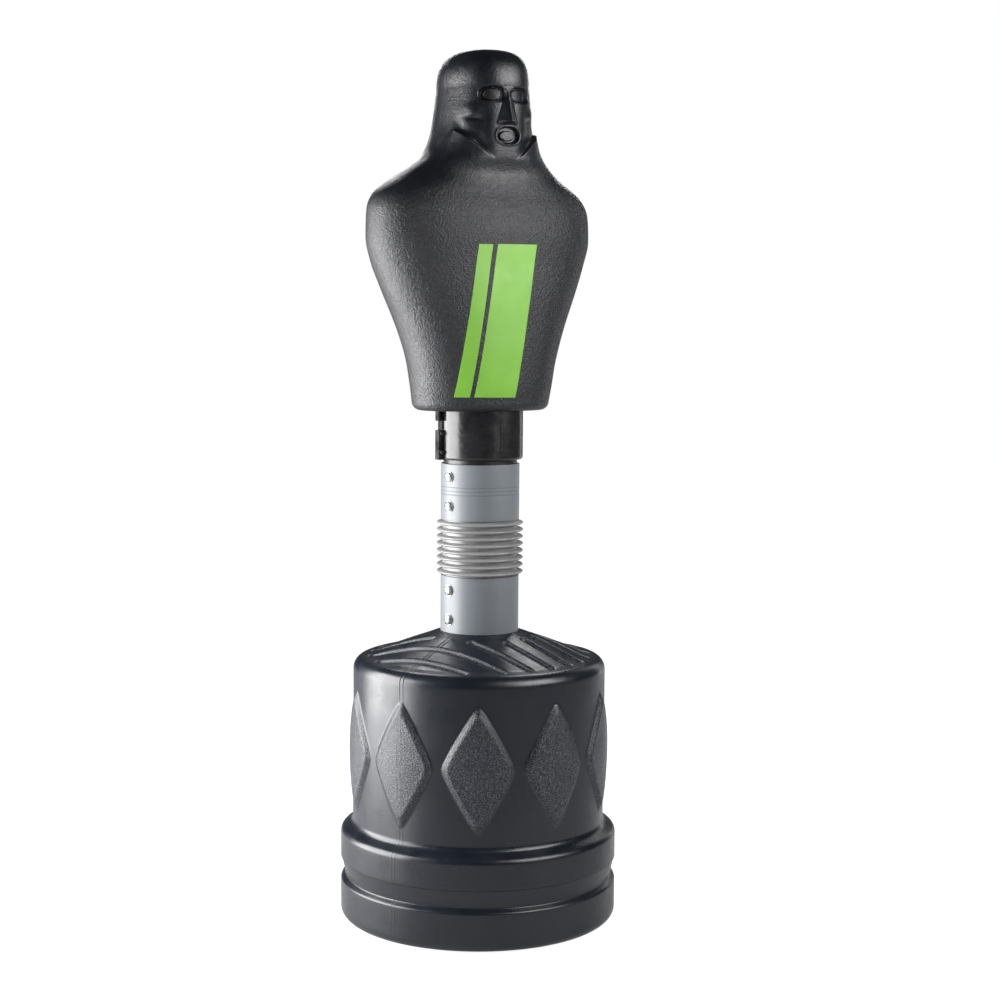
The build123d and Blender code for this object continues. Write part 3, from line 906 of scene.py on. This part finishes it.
def mouth_relief(x, z):
    """Open mouth with a raised lip and a pad inside it."""
    hole = oval(x, z, MOUTH, MOUTH_HALF, 2.3)
    pad = oval(x, z, MOUTH_PAD, MOUTH_PAD_HALF, 2.3)
    sunk = -MOUTH_DEPTH * (1 - smooth(0.86, 1.02, hole))
    raised = (MOUTH_DEPTH - MOUTH_PAD_DEPTH) * (1 - smooth(0.90, 1.12, pad))
    lip = 0.0014 * bump(hole - 1.10, 0.09)
    return sunk + raised + lip


def brow_relief(x, z):
    """Forehead that overhangs the eyes."""
    edge = 1.6785 - 0.003 * np.square(np.abs(x) / 0.05)
    over = smooth(edge - 0.002, edge + 0.006, z) * smooth(1.745, 1.690, z)
    return 0.0016 * over * smooth(0.070, 0.030, np.abs(x))


def cheek_relief(x, z):
    """Hollow cheeks under a short ledge at each side."""
    across = np.abs(x)
    hollow = -0.0042 * bump(across - 0.057, 0.017) * smooth(1.642, 1.612, z) * smooth(1.535, 1.570, z)
    ledge = bump(across - 0.0640, 0.0095)
    shelf = 0.0030 * ledge * smooth(1.6195, 1.6235, z) * smooth(1.650, 1.626, z)
    notch = -0.0022 * ledge * bump(z - 1.6165, 0.0040)
    return hollow + shelf + notch


def jaw_height(x):
    """Height of the collar's edge across the front."""
    rise = np.clip((np.abs(x) - 0.018) / (JAW_HALF - 0.018), 0.0, 1.0)
    return CHIN_Z + (JAW_Z - CHIN_Z) * (0.35 * rise**2 + 0.65 * rise)


def collar_relief(x, y, z):
    """Front panel that stands proud below the jaw, and the jaw's surface that dips to meet it."""
    edge = jaw_height(x)
    below = smooth(0.0010, -0.0030, z - edge)
    in_front = smooth(COLLAR_PLANE_Y + 0.0030, COLLAR_PLANE_Y - 0.0020, y)
    fade = np.exp(-np.maximum(edge - z, 0.0) / 0.045)
    strength = smooth(0.018, 0.060, np.abs(x))
    panel = COLLAR_PROUD * below * in_front * fade * strength
    dip = -0.0045 * bump((z - edge - 0.006) / 0.020, 1.0) * (1 - below) * strength
    return panel + dip * smooth(-0.035, -0.060, y) * smooth(0.100, 0.080, np.abs(x))


def torso_relief(points):
    """Outward relief of the torso's skin."""
    x, y, z = points[..., 0], points[..., 1], points[..., 2]
    face = eye_relief(x, z) + nose_relief(x, z) + mouth_relief(x, z)
    face += brow_relief(x, z) + cheek_relief(x, z)
    return face * smooth(-0.010, -0.035, y) + collar_relief(x, y, z)


def seam_ridge(angles, z):
    """Thin moulding line down each side of the torso."""
    gap = np.minimum(np.abs(angle_gap(angles, 0)), np.abs(angle_gap(angles, 180)))
    fade = 0.3 + 0.7 * smooth(1.48, 1.56, z)
    return SEAM_PROUD * bump(gap, radians(0.6)) * fade


def grid_normals(points):
    """Unit normals of a grid whose rows close on themselves."""
    along = np.gradient(points, axis=0)
    around = np.roll(points, -1, axis=1) - np.roll(points, 1, axis=1)
    normal = np.cross(around, along)
    return normal / np.maximum(np.linalg.norm(normal, axis=2), 1e-12)[..., None]


def torso_rows():
    """(height, crown scale) of each row up the outside of the torso."""
    chest = np.arange(TORSO_BOTTOM + TORSO_EDGE, NECK_START, CHEST_ROW)
    neck = np.arange(NECK_START, CROWN_START, NECK_ROW)
    rows = [(z, 1.0) for z in np.concatenate([chest, neck])]
    for tilt in np.linspace(0, pi / 2, 60)[:-1]:
        rise = sin(tilt) ** (2 / CROWN_ROUNDNESS)
        crown = cos(tilt) ** (2 / CROWN_ROUNDNESS)
        rows.append((CROWN_START + (CROWN_TOP - CROWN_START) * rise, crown))
    rows.sort()
    return rows


def torso_underside(angles):
    """Rows from the closed top of the core's bore, down it, and out to the torso's lower edge."""
    rows = []
    for z in np.linspace(CORE_TOP, TORSO_BOTTOM + 0.004, 8):
        rows.append(section_ring(TORSO_BORE_R, TORSO_BORE_R, 0, z, angles))
    rows.append(section_ring(TORSO_HOLE_R, TORSO_HOLE_R, 0, TORSO_BOTTOM, angles))
    a, b, forward = torso_section(TORSO_BOTTOM + TORSO_EDGE)
    hole = section_ring(TORSO_HOLE_R, TORSO_HOLE_R, 0, TORSO_BOTTOM, angles)
    edge = section_ring(a - TORSO_EDGE, b - TORSO_EDGE, forward, TORSO_BOTTOM, angles)
    for share in np.linspace(0, 1, 8)[1:]:
        rows.append(hole + (edge - hole) * share)
    for tilt in np.linspace(0, pi / 2, 10)[1:-1]:
        inset = TORSO_EDGE * (1 - sin(tilt))
        z = TORSO_BOTTOM + TORSO_EDGE * (1 - cos(tilt))
        rows.append(section_ring(a - inset, b - inset, forward, z, angles))
    return rows


def make_torso():
    angles = spread(TORSO_COLUMNS, front_weight)
    rings = []
    for z, crown in torso_rows():
        rings.append(section_ring(*torso_section(min(z, CROWN_START), crown), z, angles))
    outside = np.array(rings)
    relief = torso_relief(outside) + seam_ridge(np.broadcast_to(angles, outside.shape[:2]), outside[..., 2])
    outside = outside + grid_normals(outside) * relief[..., None]
    points = np.concatenate([np.array(torso_underside(angles)), outside])
    top = outside[-1].mean(axis=0)
    top[2] = CROWN_TOP
    mesh = grid_mesh("torso_padding", points, poles=((0, 0, CORE_TOP), tuple(top)))
    torso = add_piece("torso_padding", mesh, "torso_vinyl", "torso")
    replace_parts(torso, "torso_skin", "torso_foam")


def chest_y(x, z):
    """Depth of the chest's front at a place."""
    a, b, forward = torso_section(z)
    inside = np.clip(1 - np.abs(x / a) ** TORSO_ROUNDNESS, 0, 1)
    return -forward - b * inside ** (1 / TORSO_ROUNDNESS)


def make_stripes():
    """Printed film on the chest: closed patches that follow its curve."""
    for name, corners in STRIPES.items():
        (ax, az), (bx, bz), (cx, cz), (dx, dz) = corners
        u = np.linspace(0, 1, 22)[None, :]
        v = np.linspace(0, 1, 76)[:, None]
        x = (1 - v) * ((1 - u) * ax + u * bx) + v * ((1 - u) * dx + u * cx)
        z = (1 - v) * ((1 - u) * az + u * bz) + v * ((1 - u) * dz + u * cz)
        y = chest_y(x, z)
        front = np.stack([x, y - STRIPE_PROUD, z], axis=2)
        back = np.stack([x, y + STRIPE_ROOT, z], axis=2)
        points = np.concatenate([front, back[:, ::-1]], axis=1)
        mesh = grid_mesh(name + "_film", points)
        close_ends(mesh, points.shape[0], points.shape[1])
        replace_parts(add_piece(name + "_film", mesh, "stripe_green", "torso"), name)


def close_ends(mesh, rows, columns):
    """Quads across the first and last rows of a flat closed strip."""
    vertices = [v.co[:] for v in mesh.vertices]
    faces = [list(p.vertices) for p in mesh.polygons]
    half = columns // 2
    for row, flip in ((0, False), (rows - 1, True)):
        start = row * columns
        for k in range(half - 1):
            quad = [start + k, start + k + 1, start + columns - 2 - k, start + columns - 1 - k]
            faces.append(quad if flip else quad[::-1])
    mesh.clear_geometry()
    mesh.from_pydata(vertices, [], faces)
    mesh.shade_smooth()
    mesh.set_sharp_from_angle(angle=SHARP_ANGLE)


# ---------------------------------------------------------------- finish of the CAD nodes


def finish_nodes():
    """Each CAD node gets the material of its slot."""
    slots = {part["node"]: part["material_slot"] for part in frame["record"]["subparts"]}
    for name, node in frame["nodes"].items():
        node.data.materials.clear()
        node.data.materials.append(MATERIALS[slots[name]])


# ---------------------------------------------------------------- studio


def look_from(heading, distance, height):
    """Point at a heading from the camera's own, a distance from the neck's axis."""
    turned = radians(CAMERA_HEADING + heading)
    return Vector((sin(turned) * distance, -cos(turned) * distance, height))


def softbox(name, heading, distance, height, size, power, aim=0.9):
    """Rectangular light turned to the bag."""
    light = bpy.data.lights.new(name, "AREA")
    light.shape = "RECTANGLE"
    light.size, light.size_y = size
    light.energy = power
    lamp = bpy.data.objects.new(name, light)
    bpy.context.scene.collection.objects.link(lamp)
    lamp.location = look_from(heading, distance, height)
    toward = Vector((0, 0, aim)) - lamp.location
    lamp.rotation_euler = toward.to_track_quat("-Z", "Y").to_euler()
    lamp.visible_camera = False


def make_camera():
    lens = bpy.data.cameras.new("camera")
    lens.lens = LENS
    lens.sensor_width = 36.0
    camera = bpy.data.objects.new("camera", lens)
    bpy.context.scene.collection.objects.link(camera)
    heading = Matrix.Rotation(radians(CAMERA_HEADING), 4, "Z")
    aim = heading @ Matrix.Rotation(radians(90 - CAMERA_TILT), 4, "X")
    own = Matrix.Rotation(radians(-CAMERA_TURN), 4, "Y") @ Matrix.Rotation(radians(CAMERA_ROLL), 4, "Z")
    camera.matrix_world = Matrix.Translation(look_from(0, CAMERA_DISTANCE, CAMERA_HEIGHT)) @ aim @ own
    bpy.context.scene.camera = camera


def make_floor():
    """Pale floor that glows up to white away from the bag, and lights the bag less than it shows."""
    mesh = bpy.data.meshes.new("floor")
    reach = 9.0
    corners = [(-reach, -reach, 0), (reach, -reach, 0), (reach, reach, 0), (-reach, reach, 0)]
    mesh.from_pydata(corners, [], [(0, 1, 2, 3)])
    surface = Surface("floor_paper", 0.6, Emission_Color=(1, 1, 1, 1))
    length = surface.add("ShaderNodeVectorMath", operation="LENGTH")
    surface.link(surface.place, length.inputs[0])
    seen = surface.ranged(surface.add("ShaderNodeLightPath").outputs["Is Camera Ray"], 0.4, 1.0, 0.0, 1.0)
    brightness = surface.ranged(length.outputs["Value"], 0.88, 1.0, start=0.4, end=2.2)
    glow = surface.times(brightness, seen)
    surface.link(glow, surface.shader.inputs["Emission Strength"])
    surface.colour(surface.mixed(surface.noise(3), (0.30, 0.30, 0.30), (0.32, 0.32, 0.32)))
    mesh.materials.append(surface.material)
    floor = bpy.data.objects.new("floor", mesh)
    bpy.context.scene.collection.objects.link(floor)


def make_world():
    """White backdrop that lights the bag only softly."""
    world = bpy.data.worlds.new("studio")
    world.use_nodes = True
    nodes, links = world.node_tree.nodes, world.node_tree.links
    seen = nodes["Background"]
    seen.inputs["Color"].default_value = (1, 1, 1, 1)
    seen.inputs["Strength"].default_value = 1.0
    lit = nodes.new("ShaderNodeBackground")
    lit.inputs["Color"].default_value = (0.93, 0.96, 1.0, 1)
    lit.inputs["Strength"].default_value = 0.05
    path = nodes.new("ShaderNodeLightPath")
    mix = nodes.new("ShaderNodeMixShader")
    links.new(path.outputs["Is Camera Ray"], mix.inputs[0])
    links.new(lit.outputs["Background"], mix.inputs[1])
    links.new(seen.outputs["Background"], mix.inputs[2])
    links.new(mix.outputs["Shader"], nodes["World Output"].inputs["Surface"])
    bpy.context.scene.world = world


def make_studio():
    make_camera()
    make_floor()
    make_world()
    softbox("key_left", heading=-87, distance=1.9, height=0.9, size=(1.9, 1.95), power=160)
    softbox("fill_right", heading=56, distance=2.2, height=2.05, size=(1.8, 1.6), power=76, aim=1.2)
    softbox("rim_right", heading=142, distance=2.4, height=1.2, size=(0.4, 2.2), power=4)
    softbox("back_high", heading=180, distance=1.6, height=2.1, size=(1.4, 0.5), power=14, aim=0.6)
    bpy.context.scene.view_settings.view_transform = "Standard"


make_tank()
make_spout()
make_cap()
make_column()
make_torso()
make_stripes()
finish_nodes()
make_studio()
